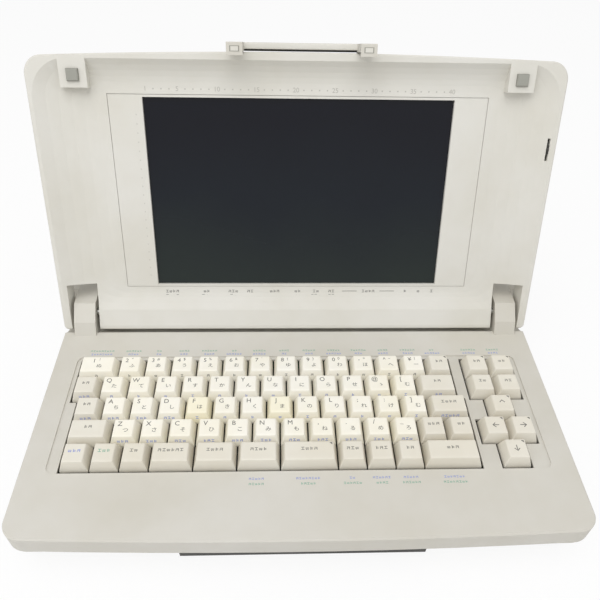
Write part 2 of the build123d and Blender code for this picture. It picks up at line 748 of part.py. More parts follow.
def print_head():
    """Thermal head with cooling fins, standing on the carriage."""
    low = ROD_Z + CARRIAGE[2] / 2
    back = (ROD_Y[0] + ROD_Y[1]) / 2 + CARRIAGE[1] / 2 - 6
    foot = span((CARRIAGE_X - 10, CARRIAGE_X + 10), (back - 2, back + 6), (low, low + 3))
    plate_front = head_front()
    plate = span((CARRIAGE_X - 10, CARRIAGE_X + 10), (plate_front - 2.4, plate_front),
                 (low, PLATEN_Z + 6))
    fins = [span((CARRIAGE_X - 9 + 6 * i, CARRIAGE_X - 6 + 6 * i),
                 (back, plate_front), (low, PLATEN_Z)) for i in range(4)]
    return foot + plate + fins


def ribbon_cassette():
    """Flat ribbon cassette with two spool hubs, on top of the carriage."""
    low = ROD_Z + CARRIAGE[2] / 2
    front = (ROD_Y[0] + ROD_Y[1]) / 2 - CARRIAGE[1] / 2
    body = block(CASSETTE, (CARRIAGE_X, front + CASSETTE[1] / 2, low + CASSETTE[2] / 2))
    body = chamfer(body.edges().filter_by(Axis.Z), 3.0)
    high = low + CASSETTE[2]
    for side in (-1, 1):
        hub = (CARRIAGE_X + side * SPOOL_X, front + CASSETTE[1] / 2)
        body -= post(SPOOL[0], hub, high - SPOOL[2], high + 1, 12)
        body += post(SPOOL[1], hub, high - SPOOL[2] - 1, high - 1, 6)
    return body


def printer_cover():
    """Hinged plate over the carriage with a rounded rear edge and two pins."""
    y, z = cover_axis()
    half = COVER[0] / 2 - COVER_GAP
    front = COVER_Y - COVER[1] / 2 + COVER_GAP
    plate = span((-half, half), (front, y), (REAR_TOP - WALL, REAR_TOP))
    plate += rod(WALL / 2, (-half, half), y, z)
    pins = rod(COVER_PIN, (-COVER[0] / 2 - 3, COVER[0] / 2 + 3), y, z)
    grip = block((30, 5, 1.2), (0, front + 6, REAR_TOP))
    return plate + pins - grip


# ---- lid, drawn closed

def lid_prism(wall, low, high):
    """The lid's plan outline, or with a wall its inside, between two heights."""
    rear = LID_REAR - wall
    return prism(outline(wall, rear, LID_REAR_CORNER), low, high)


def lid_slots(grown):
    """Gaps that the hinge towers fill."""
    x = (TOWER_CENTRE - SLOT_WIDTH / 2 - grown, TOWER_CENTRE + SLOT_WIDTH / 2 + grown)
    y = (LID_REAR - SLOT_LENGTH - grown, LID_REAR + 5)
    slot = span(x, y, (LID_Z - 5, LID_TOP + 5))
    return [slot, mirror(slot, about=Plane.YZ)]


def latch_notches(grown):
    """Notches in the back shell for the latch lever's knuckles."""
    x = (LATCH_WIDTH / 2 - LATCH_BLOCK - FIT - grown, LATCH_WIDTH / 2 + FIT + grown)
    y = (FRONT_Y - 5, FRONT_Y + NOTCH_DEPTH + grown)
    notch = span(x, y, (LID_Z + LID_PARTING - grown, LID_TOP + 5))
    return [notch, mirror(notch, about=Plane.YZ)]


def dish_section(reach, extra):
    """Outline of the lid's hollow face where its side slope has run this far inwards."""
    share = 1 - (1 - reach) ** DISH_POWER
    side = DISH_RIM + DISH_SIDE * reach - extra
    rear = DISH_RIM + DISH_REAR * acos(1 - 2 * share) / pi - extra
    front = DISH_RIM + DISH_FRONT * reach - extra
    width = WIDTH - 2 * side
    low = FRONT_Y + FRONT_BOW / 2 + front
    high = LID_REAR - rear
    face = Rectangle(width, high - low)
    if not extra:
        face = RectangleRounded(width, high - low, DISH_CORNER * (1 - 0.35 * share))
    return Pos(0, (low + high) / 2, LID_Z + DISH * share + extra) * face


def dish(bands, extra):
    """The lid's hollow face: outlines that shrink towards a flat middle."""
    bowl = loft([dish_section(i / bands, extra) for i in range(bands + 1)], ruled=True)
    mouth = extrude(dish_section(0, extra), -extra - 1)
    return bowl + mouth


def lid_bosses(grown):
    """Raised corners of the front frame that carry the rubber pads."""
    centre_y = LID_REAR - PAD_CENTRE[1] - 2
    size = (BOSS[0] - 2 * grown, BOSS[1] - 2 * grown, DISH + LID_SKIN)
    boss = block(size, (PAD_CENTRE[0], centre_y, LID_Z + size[2] / 2 + grown))
    return [boss, mirror(boss, about=Plane.YZ)]


def pad_recesses():
    """Square recesses for the rubber pads."""
    centre = (PAD_CENTRE[0], LID_REAR - PAD_CENTRE[1], LID_Z)
    recess = block((PAD[0] + FIT, PAD[1] + FIT, 2), centre)
    return [recess, mirror(recess, about=Plane.YZ)]


def contrast_slot(grown):
    """Slot in the right rim for the contrast wheel."""
    y = LID_REAR - CONTRAST_FROM_REAR
    size = (CONTRAST_WIDTH + 0.5 + grown, 2 * CONTRAST_RADIUS + 1 + grown, LID_PARTING + 9)
    return block(size, (CONTRAST_X, y, LID_Z + size[2] / 2 - 3))


def lid_bezel():
    """Front frame: dished face round the display, hollow behind."""
    high = LID_Z + LID_PARTING
    frame = lid_prism(0, LID_Z, high)
    frame = chamfer(frame.edges().filter_by_position(Axis.Z, LID_Z - 0.1, LID_Z + 0.1),
                    LID_RIM)
    core = lid_prism(LID_WALL, LID_Z + LID_SKIN, high + 1) - dish(DISH_BANDS, LID_SKIN)
    core -= lid_slots(LID_WALL)
    frame = frame - dish(DISH_BANDS, 0) - core
    frame += lid_bosses(0)
    frame -= lid_slots(0)
    frame &= lid_prism(0, LID_Z, high)
    opening = (INSET[0] + 2 * SEAM, INSET[1] + 2 * SEAM, 4 * DISH)
    frame -= block(opening, (0, inset_y(), high))
    frame -= pad_recesses()
    frame -= contrast_slot(0)
    return frame - hinge_bores()


def inset_y():
    """Middle of the inset panel in the closed lid."""
    return LID_REAR - INSET_FROM_REAR - INSET[1] / 2


def window_y():
    """Middle of the display window in the closed lid."""
    return LID_REAR - WINDOW_FROM_REAR - WINDOW[1] / 2


def lid_back_shell():
    """Outer half of the lid with rounded edges, notched for hinge and latch."""
    low = LID_Z + LID_PARTING
    shell = lid_prism(0, low, LID_TOP)
    edge = shell.edges().filter_by_position(Axis.Z, LID_TOP - 0.1, LID_TOP + 0.1)
    shell = chamfer(edge, LID_EDGE)
    core = lid_prism(LID_WALL, low - 1, LID_TOP - LID_WALL)
    core -= lid_slots(LID_WALL)
    core -= latch_notches(LID_WALL)
    shell -= core
    shell -= lid_slots(0)
    shell -= latch_notches(0)
    pivot = (FRONT_Y + LATCH_PIVOT[0], LID_Z + LATCH_PIVOT[1])
    reach = (LATCH_WIDTH / 2 - 1, LATCH_WIDTH / 2 + FIT + LID_WALL + 1)
    bore = rod(LATCH_PIN + SEAT, reach, *pivot)
    shell -= [bore, mirror(bore, about=Plane.YZ)]
    return shell - hinge_bores()


def lid_inset_panel():
    """Flat panel round the display, flanged behind the front frame."""
    front = LID_Z + DISH
    back = LID_Z + LID_PARTING
    face = span((-INSET[0] / 2, INSET[0] / 2),
                (inset_y() - INSET[1] / 2, inset_y() + INSET[1] / 2), (front, back))
    half = INSET[0] / 2 + 3
    flange = span((-half, half), (inset_y() - INSET[1] / 2 - 2.5, inset_y() + INSET[1] / 2 + 2.5),
                  (back, back + FLANGE))
    opening = (WINDOW[0], WINDOW[1], 20)
    return face + flange - block(opening, (0, window_y(), front))


def glass_low():
    """Face of the display glass in the closed lid."""
    return LID_Z + LID_PARTING + FLANGE


def lcd_glass():
    """Display panel behind the window."""
    centre = (0, window_y(), glass_low() + GLASS[2] / 2)
    return block(GLASS, centre)


def lcd_frame():
    """Metal frame and backlight that hold the display panel."""
    depth = GLASS[2] + BACKLIGHT
    size = (GLASS[0] + 2 * LID_WALL, GLASS[1] + 2 * LID_WALL - 2, depth)
    frame = block(size, (0, window_y(), glass_low() + depth / 2))
    pocket = (GLASS[0] + FIT, GLASS[1] + FIT / 2, 2 * GLASS[2])
    return frame - block(pocket, (0, window_y(), glass_low()))


def lid_board(side, parts):
    """A narrow circuit board beside the display frame."""
    x = side * LID_BOARD_X
    y = window_y()
    low = glass_low()
    board = block((13.0, 84.0, 1.2), (x, y, low + 0.6))
    chips = [block((8.0, length, 2.4), (x, y + shift, low + 2.4)) for shift, length in parts]
    return board + chips


def inverter_board():
    """Backlight inverter with its transformer and coil."""
    return lid_board(-1, ((-22, 18), (6, 10), (28, 12)))


def lcd_driver_board():
    """Display driver with its row of chips."""
    return lid_board(1, ((-30, 14), (-10, 14), (10, 14), (30, 14)))


def lid_bumpers():
    """Two square rubber pads that rest on the deck when the lid is closed."""
    y = LID_REAR - PAD_CENTRE[1]
    height = 1 + RIM_GAP - 0.1
    pad = block((PAD[0], PAD[1], height), (PAD_CENTRE[0], y, LID_Z + 1 - height / 2))
    pad = chamfer(pad.faces().sort_by(Axis.Z)[0].edges(), 0.5)
    return mirrored(pad)


def contrast_wheel():
    """Knurled thumbwheel on a short axle."""
    y = LID_REAR - CONTRAST_FROM_REAR
    z = LID_Z + 0.3 + CONTRAST_RADIUS
    half = CONTRAST_WIDTH / 2
    x = (CONTRAST_X - half, CONTRAST_X + half)
    wheel = fluted(CONTRAST_RADIUS, 0.5, CONTRAST_TEETH, x, y, z)
    return wheel + rod(CONTRAST_AXLE, (CONTRAST_X, WIDTH / 2 - LID_WALL - 2 * FIT), y, z)


def contrast_pot():
    """Variable resistor that carries the thumbwheel's axle."""
    y = LID_REAR - CONTRAST_FROM_REAR
    z = LID_Z + 0.3 + CONTRAST_RADIUS
    x = (CONTRAST_X + CONTRAST_WIDTH / 2 + FIT, WIDTH / 2 - LID_WALL - FIT)
    body = span(x, (y - 5, y + 5), (z - 3, LID_TOP - LID_WALL))
    return body - rod(CONTRAST_AXLE + SEAT, x, y, z)


def lid_hinge_plates():
    """Steel plates in the lid's lower corners, each with a shaft riveted in its ear."""
    low = LID_Z + LID_PARTING
    inner = TOWER_CENTRE - SLOT_WIDTH / 2 - LID_WALL - 0.5
    ear = side_prism(Pos(HINGE_Y, HINGE_Z) * RegularPolygon(EAR_RADIUS, 8), (inner - 6, inner))
    top = LID_TOP - LID_WALL
    plate = span((inner - 16, inner), (HINGE_Y - 26, HINGE_Y + 5), (top - 1.6, top))
    neck = span((inner - 6, inner), (HINGE_Y - EAR_RADIUS, HINGE_Y + EAR_RADIUS), (HINGE_Z, top))
    shaft = rod(HINGE_SHAFT, (inner - 1, TOWER_CENTRE + TOWER_WIDTH / 2 - TOWER_WALL - FIT),
                HINGE_Y, HINGE_Z)
    return mirrored(ear + plate + neck + shaft)


def latch_lever():
    """Two hooked blocks joined by a grip bar, on stub pins that turn in the back shell."""
    front = FRONT_Y - LATCH_DEPTH
    back = FRONT_Y - 0.4
    half = LATCH_WIDTH / 2
    low = BAND_Z - 2.3
    high = DECK_Z + 15.0
    pivot = (FRONT_Y + LATCH_PIVOT[0], LID_Z + LATCH_PIVOT[1])
    hook = span((half - LATCH_BLOCK, half), (front, back), (low, high))
    hook = chamfer(hook.edges().filter_by(Axis.X), 0.6)
    hook += span((half - LATCH_BLOCK, half), (back - 1, back + LATCH_NOSE),
                 (low, BAND_Z - FIT))
    x = (half - LATCH_BLOCK + 1, half - 1)
    hook += rod(LATCH_KNUCKLE, x, *pivot)
    hook += span(x, (back - 1, pivot[0]), (pivot[1] - LATCH_KNUCKLE, pivot[1] + LATCH_KNUCKLE))
    hook += rod(LATCH_PIN, (half - 2, half + LID_WALL), *pivot)
    bar_half = half - LATCH_BLOCK + 0.5
    bar = span((-bar_half, bar_half), (front, front + LATCH_BAR),
               (DECK_Z + 2, DECK_Z + 2 + LATCH_BAR_HEIGHT))
    return hook + mirror(hook, about=Plane.YZ) + bar


def carry_handle():
    """U-shaped handle that slides out from under the front edge."""
    bar = handle_box(0)
    bar = fillet(bar.edges().filter_by(Axis.X), 1.5)
    arm = arm_box(0, 2, -WALL - 1)
    return bar + arm + mirror(arm, about=Plane.YZ)


# ---- writing the nodes

BASE_NODES = [top_case, bottom_case, rubber_feet, case_screws, hinge_brackets, key_plate,
              key_dome_sheet, keyboard_circuit_board, main_board, power_board, power_inlet,
              printer_chassis, guide_rods, platen_roller, paper_knob, print_carriage,
              print_head, ribbon_cassette, printer_cover, carry_handle]
LID_NODES = [lid_back_shell, lid_bezel, lid_inset_panel, lcd_glass, lcd_frame,
             inverter_board, lcd_driver_board, lid_bumpers, contrast_wheel, contrast_pot,
             lid_hinge_plates, latch_lever]

os.makedirs("parts", exist_ok=True)
for make in BASE_NODES:
    save(make(), make.__name__)
for make in LID_NODES:
    save(at_hinge(make()), make.__name__)
for name, cells in KEY_NODES.items():
    save(Compound(children=[key(*cell) for cell in cells]), name)
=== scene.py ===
# %% [markdown]
# # A portable electronic word processor
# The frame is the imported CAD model: it holds every size and every joint. This notebook dresses
# it. First comes the frame, then a few helpers, then one step for each piece or finish, and at
# the end the light, the floor and the camera.

# %% Load the frame
import json
import math

import bpy
from mathutils import Matrix, Vector


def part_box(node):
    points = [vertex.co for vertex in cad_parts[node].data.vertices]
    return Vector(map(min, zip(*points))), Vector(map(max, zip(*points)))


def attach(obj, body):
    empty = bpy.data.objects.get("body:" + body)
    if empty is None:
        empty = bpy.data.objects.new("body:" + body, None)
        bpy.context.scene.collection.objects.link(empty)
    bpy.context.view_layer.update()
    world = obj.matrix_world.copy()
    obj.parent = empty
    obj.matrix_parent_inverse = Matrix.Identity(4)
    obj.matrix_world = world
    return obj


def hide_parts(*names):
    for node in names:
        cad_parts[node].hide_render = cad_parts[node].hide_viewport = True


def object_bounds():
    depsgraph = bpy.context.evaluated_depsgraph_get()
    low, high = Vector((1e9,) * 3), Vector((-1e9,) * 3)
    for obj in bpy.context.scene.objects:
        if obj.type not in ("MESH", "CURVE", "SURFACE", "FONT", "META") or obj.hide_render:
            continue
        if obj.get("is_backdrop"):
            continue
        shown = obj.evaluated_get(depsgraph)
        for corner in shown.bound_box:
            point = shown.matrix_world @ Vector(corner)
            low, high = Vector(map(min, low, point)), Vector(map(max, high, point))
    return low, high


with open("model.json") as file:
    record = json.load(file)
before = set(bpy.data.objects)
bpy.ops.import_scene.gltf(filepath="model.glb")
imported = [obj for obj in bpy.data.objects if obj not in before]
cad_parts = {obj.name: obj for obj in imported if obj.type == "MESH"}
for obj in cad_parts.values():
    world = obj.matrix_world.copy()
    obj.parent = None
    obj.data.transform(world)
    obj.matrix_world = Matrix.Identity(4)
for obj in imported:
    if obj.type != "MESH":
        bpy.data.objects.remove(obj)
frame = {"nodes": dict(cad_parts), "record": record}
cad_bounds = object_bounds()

nodes = frame["nodes"]
MM = 0.001

# %% [markdown]
# ## Sizes that the pieces share
# The heights of the keys and the place of the key grid are read off the frame, so a piece always
# sits on the part that carries it. The pitch, the deck and the hinge axis are the CAD source's.

# %% Shared sizes
PITCH = 18.0 * MM
KEY_GAP = 1.0 * MM
DECK_Z = 46.0 * MM
PANEL_Z = DECK_Z - 0.8 * MM
GRID_COLUMNS = 17.0
GRID_ROWS = 5
HINGE = Vector((0.0, 33.7 * MM, 55.35 * MM))
OPEN_ANGLE = math.radians(111.0)
space_low, space_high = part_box("key_space")
KEY_BOTTOM = PANEL_Z - 2.0 * MM
KEY_TOP = space_high.z
STEM_END = space_low.z
first_low, first_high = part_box("key_up")
KEY_Y = (first_low.y + first_high.y) / 2
print("key top", round(KEY_TOP / MM, 2), "grid centre", round(KEY_Y / MM, 2))

# %% [markdown]
# ## Helpers for working as by hand
# Blender's operators act on what is selected. These helpers clear the selection, start a
# primitive at its size and place, and pick faces or edges by a test, the way an artist would
# click them.


# %% Selection and primitives
def clear():
    """Object mode with nothing selected."""
    if bpy.context.object and bpy.context.object.mode != "OBJECT":
        bpy.ops.object.mode_set(mode="OBJECT")
    bpy.ops.object.select_all(action="DESELECT")


def activate(piece):
    """Makes one piece the only selected and active one."""
    clear()
    piece.select_set(True)
    bpy.context.view_layer.objects.active = piece


def settle(piece):
    """Moves the piece's place into its mesh, so that its object sits at the origin."""
    activate(piece)
    bpy.ops.object.transform_apply(location=True, rotation=True, scale=True)


def box(name, low, high):
    """A cube stretched between two corners."""
    clear()
    low, high = Vector(low), Vector(high)
    bpy.ops.mesh.primitive_cube_add(size=1, location=(low + high) / 2, scale=high - low)
    piece = bpy.context.object
    piece.name = name
    settle(piece)
    return piece


def pick(piece, test, kind="faces"):
    """Goes into edit mode with only the faces or edges that pass the test selected."""
    activate(piece)
    bpy.ops.object.mode_set(mode="EDIT")
    bpy.ops.mesh.select_mode(type="FACE" if kind == "faces" else "EDGE")
    bpy.ops.mesh.select_all(action="DESELECT")
    bpy.ops.object.mode_set(mode="OBJECT")
    mesh = piece.data
    if kind == "faces":
        for face in mesh.polygons:
            face.select = bool(test(face.center, face.normal))
    else:
        for edge in mesh.edges:
            ends = [mesh.vertices[i].co for i in edge.vertices]
            edge.select = bool(test(*ends))
    bpy.ops.object.mode_set(mode="EDIT")


def modify(piece, kind, **settings):
    """Adds one modifier and applies it."""
    activate(piece)
    modifier = piece.modifiers.new(kind.title(), kind)
    for key, value in settings.items():
        setattr(modifier, key, value)
    bpy.ops.object.modifier_apply(modifier=modifier.name)


def smooth(piece, degrees=35):
    """Smooth shading that keeps edges sharper than an angle."""
    activate(piece)
    bpy.ops.object.shade_smooth_by_angle(angle=math.radians(degrees))


def join(name, pieces):
    """Joins pieces into one."""
    clear()
    for piece in pieces:
        piece.select_set(True)
    bpy.context.view_layer.objects.active = pieces[0]
    bpy.ops.object.join()
    pieces[0].name = name
    return pieces[0]


def copy_of(piece, shift=(0, 0, 0)):
    """A copy with its own mesh, moved by a shift."""
    twin = piece.copy()
    twin.data = piece.data.copy()
    bpy.context.collection.objects.link(twin)
    twin.data.transform(Matrix.Translation(Vector(shift)))
    return twin


def open_lid(piece):
    """Turns a piece modelled on the closed lid about the hinge to where the lid stands."""
    turn = Matrix.Rotation(-OPEN_ANGLE, 4, "X")
    piece.data.transform(Matrix.Translation(HINGE) @ turn @ Matrix.Translation(-HINGE))


def wear(piece, material, body):
    """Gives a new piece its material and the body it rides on."""
    piece.data.materials.clear()
    piece.data.materials.append(material)
    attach(piece, body)
    print(piece.name, "faces", len(piece.data.polygons))


# %% [markdown]
# ## Moulded plastic
# Office plastic of this age is a warm grey ABS with a fine spark-eroded grain. It isn't one
# colour: it has yellowed a little unevenly, and hands have polished it here and there. Two
# noises carry that: a broad one for the colour and the gloss, and a very fine one for the
# grain, which goes to a bump.


# %% Plastic material
def rgb(r, g, b):
    """A colour from its 0 to 255 values, as the shader wants it."""
    def line(v):
        v /= 255.0
        return v / 12.92 if v <= 0.04045 else ((v + 0.055) / 1.055) ** 2.4
    return (line(r), line(g), line(b), 1.0)


def new_material(name):
    """An empty node material and its Principled shader."""
    material = bpy.data.materials.new(name)
    material.use_nodes = True
    tree = material.node_tree
    shader = tree.nodes["Principled BSDF"]
    return material, tree, shader


def noise(tree, scale, detail=2.0, roughness=0.5):
    """A noise on Object coordinates, scale in bumps per metre."""
    place = tree.nodes.new("ShaderNodeTexCoord")
    texture = tree.nodes.new("ShaderNodeTexNoise")
    texture.inputs["Scale"].default_value = scale
    texture.inputs["Detail"].default_value = detail
    texture.inputs["Roughness"].default_value = roughness
    tree.links.new(place.outputs["Object"], texture.inputs["Vector"])
    return texture


def ramp(tree, source, stops):
    """A colour ramp over a value, from a list of (position, colour)."""
    node = tree.nodes.new("ShaderNodeValToRGB")
    points = node.color_ramp.elements
    while len(points) < len(stops):
        points.new(0.5)
    for point, (position, colour) in zip(points, stops):
        point.position = position
        point.color = colour
    tree.links.new(source, node.inputs["Fac"])
    return node


def spread(tree, source, low, high):
    """Maps a 0 to 1 value onto low to high."""
    node = tree.nodes.new("ShaderNodeMapRange")
    node.inputs["To Min"].default_value = low
    node.inputs["To Max"].default_value = high
    tree.links.new(source, node.inputs["Value"])
    return node.outputs["Result"]


def bump(tree, shader, source, strength, distance):
    """Turns a value into relief."""
    node = tree.nodes.new("ShaderNodeBump")
    node.inputs["Strength"].default_value = strength
    node.inputs["Distance"].default_value = distance
    tree.links.new(source, node.inputs["Height"])
    tree.links.new(node.outputs["Normal"], shader.inputs["Normal"])


def plastic(name, clean, aged, gloss=(0.42, 0.6), grain=1800.0, relief=0.12):
    """Grained moulded plastic between a clean and an aged colour, with its range of gloss."""
    material, tree, shader = new_material(name)
    stain = noise(tree, 14.0, 4.0, 0.6)
    colour = ramp(tree, stain.outputs["Fac"], [(0.36, rgb(*clean)), (0.68, rgb(*aged))])
    tree.links.new(colour.outputs["Color"], shader.inputs["Base Color"])
    rub = noise(tree, 42.0, 3.0)
    tree.links.new(spread(tree, rub.outputs["Fac"], *gloss), shader.inputs["Roughness"])
    fine = noise(tree, grain, 2.0, 0.6)
    bump(tree, shader, fine.outputs["Fac"], relief, 0.00008)
    shader.inputs["IOR"].default_value = 1.5
    return material


# The lid's grey is the case's plastic painted lighter, standing in for the light that falls on
# the lid's face.
case_plastic = plastic("warm_grey_case", (207, 204, 196), (200, 196, 185))
lid_plastic_painted_lighter = plastic("warm_grey_lid_painted_lighter", (216, 214, 207), (209, 206, 196))
SATIN = ((0.34, 0.5), 2400.0, 0.08)
white_plastic = plastic("ivory_key", (243, 240, 231), (240, 235, 218), *SATIN)
sunned_plastic = plastic("yellowed_key", (243, 238, 217), (241, 234, 208), *SATIN)
beige_plastic = plastic("beige_key", (226, 222, 211), (220, 214, 199), *SATIN)
grey_plastic = plastic("grey_part", (150, 149, 141), (140, 138, 128))
dark_plastic = plastic("charcoal_part", (58, 57, 54), (48, 47, 43))
rubber = plastic("grey_rubber", (158, 158, 150), (146, 145, 136), (0.7, 0.85), 900.0, 0.2)
print("plastics made")

# %% [markdown]
# ## Metal, boards and the display
# Steel plate is a metal with fine drawn lines, a board is green lacquer over copper tracks, and
# the display is a near black glass with a faint blue and olive cast under it.


# %% Other materials
def steel(name, colour):
    """Plated steel with a fine drawn finish."""
    material, tree, shader = new_material(name)
    shader.inputs["Metallic"].default_value = 1.0
    shader.inputs["Base Color"].default_value = rgb(*colour)
    place = tree.nodes.new("ShaderNodeTexCoord")
    stretch = tree.nodes.new("ShaderNodeMapping")
    stretch.inputs["Scale"].default_value = (60.0, 900.0, 900.0)
    drawn = tree.nodes.new("ShaderNodeTexNoise")
    drawn.inputs["Scale"].default_value = 1.0
    tree.links.new(place.outputs["Object"], stretch.inputs["Vector"])
    tree.links.new(stretch.outputs["Vector"], drawn.inputs["Vector"])
    tree.links.new(spread(tree, drawn.outputs["Fac"], 0.22, 0.42), shader.inputs["Roughness"])
    bump(tree, shader, drawn.outputs["Fac"], 0.1, 0.00005)
    return material


def board_lacquer(name):
    """Green solder mask with a pattern of tracks under it."""
    material, tree, shader = new_material(name)
    place = tree.nodes.new("ShaderNodeTexCoord")
    tracks = tree.nodes.new("ShaderNodeTexBrick")
    tracks.inputs["Scale"].default_value = 160.0
    tracks.inputs["Color1"].default_value = rgb(24, 92, 48)
    tracks.inputs["Color2"].default_value = rgb(30, 104, 56)
    tracks.inputs["Mortar"].default_value = rgb(16, 70, 36)
    tree.links.new(place.outputs["Object"], tracks.inputs["Vector"])
    tree.links.new(tracks.outputs["Color"], shader.inputs["Base Color"])
    tree.links.new(spread(tree, tracks.outputs["Fac"], 0.3, 0.45), shader.inputs["Roughness"])
    return material


def display_glass(name):
    """Dark glossy display: blue black at the top, olive towards the bottom."""
    material, tree, shader = new_material(name)
    place = tree.nodes.new("ShaderNodeTexCoord")
    split = tree.nodes.new("ShaderNodeSeparateXYZ")
    tree.links.new(place.outputs["Object"], split.inputs["Vector"])
    height = tree.nodes.new("ShaderNodeMapRange")
    height.inputs["From Min"].default_value = 0.08
    height.inputs["From Max"].default_value = 0.21
    tree.links.new(split.outputs["Z"], height.inputs["Value"])
    cloud = noise(tree, 9.0, 3.0)
    mix = tree.nodes.new("ShaderNodeMath")
    mix.operation = "MULTIPLY_ADD"
    mix.inputs[1].default_value = 0.5
    tree.links.new(cloud.outputs["Fac"], mix.inputs[0])
    tree.links.new(height.outputs["Result"], mix.inputs[2])
    colour = ramp(tree, mix.outputs["Value"],
                  [(0.2, rgb(30, 38, 36)), (0.6, rgb(16, 22, 30)), (1.0, rgb(10, 12, 22))])
    tree.links.new(colour.outputs["Color"], shader.inputs["Base Color"])
    dust = noise(tree, 60.0, 3.0)
    tree.links.new(spread(tree, dust.outputs["Fac"], 0.08, 0.2), shader.inputs["Roughness"])
    shader.inputs["IOR"].default_value = 1.45
    return material


plated = steel("plated_steel", (186, 186, 182))
lacquer = board_lacquer("green_board")
glass = display_glass("display_panel")
print("other materials made")

# %% [markdown]
# ## Materials for the frame's own nodes
# A node whose CAD shape is right stays as it is and only gets a finish. The record names a slot
# for every node, so one table of slots dresses them all.

# %% Dress the CAD nodes
FINISHES = {
    "case": case_plastic,
    "lid_case": lid_plastic_painted_lighter,
    "key_white": white_plastic,
    "key_beige": beige_plastic,
    "grey_plastic": grey_plastic,
    "dark_plastic": dark_plastic,
    "display": glass,
    "rubber": rubber,
    "board": lacquer,
    "steel": plated,
}
slot_of = {entry["node"]: entry["material_slot"] for entry in frame["record"]["subparts"]}
for name, node in nodes.items():
    node.data.materials.clear()
    node.data.materials.append(FINISHES[slot_of[name]])
print("dressed", len(slot_of), "nodes")

# %% [markdown]
# ## Key caps
# A cap is a skirt with a tapered top. It starts as a box the size of the skirt: the top face is
# extruded up and scaled in, then inset and lowered a little, which gives the shallow dish that
# a fingertip rests in. The rims are bevelled. One cap is modelled for each width and copied.

# %% One cap for each width
CAP_TAPER = (4.6 * MM, 3.9 * MM)
CAP_SHIFT = 0.2 * MM
CAP_BEVEL = 0.75 * MM
DISH_STEPS = ((1.0, 0.0), (1.5, 0.14), (1.6, 0.1))
STEM = 5.0 * MM


def cap(width):
    """A key cap of a width in key pitches, centred on the origin in plan."""
    half_x = (width * PITCH - KEY_GAP) / 2
    half_y = (PITCH - KEY_GAP) / 2
    piece = box("cap", (-half_x, -half_y, KEY_BOTTOM), (half_x, half_y, PANEL_Z))
    pick(piece, lambda c, n: n.z > 0.9)
    raise_by = (0, 0, KEY_TOP - PANEL_Z)
    bpy.ops.mesh.extrude_region_move(TRANSFORM_OT_translate={"value": raise_by})
    scale = (1 - CAP_TAPER[0] / (2 * half_x), 1 - CAP_TAPER[1] / (2 * half_y), 1)
    bpy.ops.transform.resize(value=scale, center_override=(0, 0, KEY_TOP))
    bpy.ops.transform.translate(value=(0, CAP_SHIFT, 0))
    pick(piece, lambda c, n: n.z < -0.9)
    bpy.ops.mesh.inset(thickness=half_y - STEM / 2)
    bpy.ops.transform.resize(value=(STEM / 2 / (half_x - half_y + STEM / 2), 1, 1),
                             center_override=(0, 0, KEY_BOTTOM))
    drop_by = (0, 0, STEM_END - KEY_BOTTOM)
    bpy.ops.mesh.extrude_region_move(TRANSFORM_OT_translate={"value": drop_by})
    pick(piece, lambda a, b: min(a.z, b.z) > KEY_BOTTOM + 0.1 * MM
         and (max(a.z, b.z) > PANEL_Z + 0.1 * MM or abs(a.z - b.z) > MM), "edges")
    bpy.ops.mesh.bevel(offset=CAP_BEVEL, segments=3, profile=0.6)
    for thickness, drop in DISH_STEPS:
        pick(piece, lambda c, n: n.z > 0.999 and c.z > KEY_TOP - 0.4 * MM
             and abs(c.x) < MM and abs(c.y) < MM)
        bpy.ops.mesh.inset(thickness=thickness * MM)
        bpy.ops.transform.translate(value=(0, 0, -drop * MM))
    smooth(piece, 28)
    return piece


caps = {width: cap(width) for width in (1.0, 1.5, 2.0)}
print("caps", {width: len(piece.data.polygons) for width, piece in caps.items()})

# %% [markdown]
# ## The keyboard
# Five rows of keys and a cursor cluster. Each CAD node is a row or a group that moves together,
# so the caps of a group are joined into one piece that replaces its node. The two keys under the
# typist's first fingers have yellowed a little more than the others.


# %% Rows of caps
def row(number, start, widths):
    """Cells of one row as (first column, width, row)."""
    cells = []
    for width in widths:
        cells.append((start, width, number))
        start += width
    return cells


ROW_1 = row(0, 0, [1.5] + 13 * [1.0])
ROW_2 = row(1, 0, 13 * [1.0] + [1.5])
ROW_3 = row(2, 0.25, 13 * [1.0] + [1.5])
ROW_4 = row(3, 0.25, [1.5] + 13 * [1.0])
ROW_5 = row(4, 0.25, [1.0, 1.0, 1.0, 1.5, 1.5, 1.5, 2.0, 1.0, 1.0, 1.0, 2.0])
KEY_NODES = {
    "keys_numbers": ROW_1[:13],
    "keys_letters_upper": ROW_2[1:13],
    "keys_letters_home": ROW_3[1:13],
    "keys_letters_lower": ROW_4[1:12],
    "key_tab": ROW_2[:1],
    "key_caps": ROW_3[:1],
    "key_shift": ROW_4[:1],
    "key_backspace": ROW_1[13:],
    "key_upper_right": ROW_2[13:],
    "key_enter": ROW_3[13:],
    "keys_lower_right": ROW_4[12:],
    "keys_function": ROW_5[:6] + ROW_5[7:10],
    "key_space": ROW_5[6:7],
    "key_function_wide": ROW_5[10:],
    "keys_edit": [(x, 1.0, y) for y in (0, 1) for x in (15.0, 16.0)],
    "key_up": [(15.5, 1.0, 2)],
    "key_left": [(15.0, 1.0, 3)],
    "key_right": [(16.0, 1.0, 3)],
    "key_down": [(15.5, 1.0, 4)],
}
body_of_node = {node: body for body, names in frame["record"]["behaviour"]["bodies"].items()
                for node in names}


def key_centre(cell):
    """Plan position of a key's middle."""
    column, width, number = cell
    x = (column + width / 2 - GRID_COLUMNS / 2) * PITCH
    y = KEY_Y + (GRID_ROWS / 2 - number - 0.5) * PITCH
    return x, y


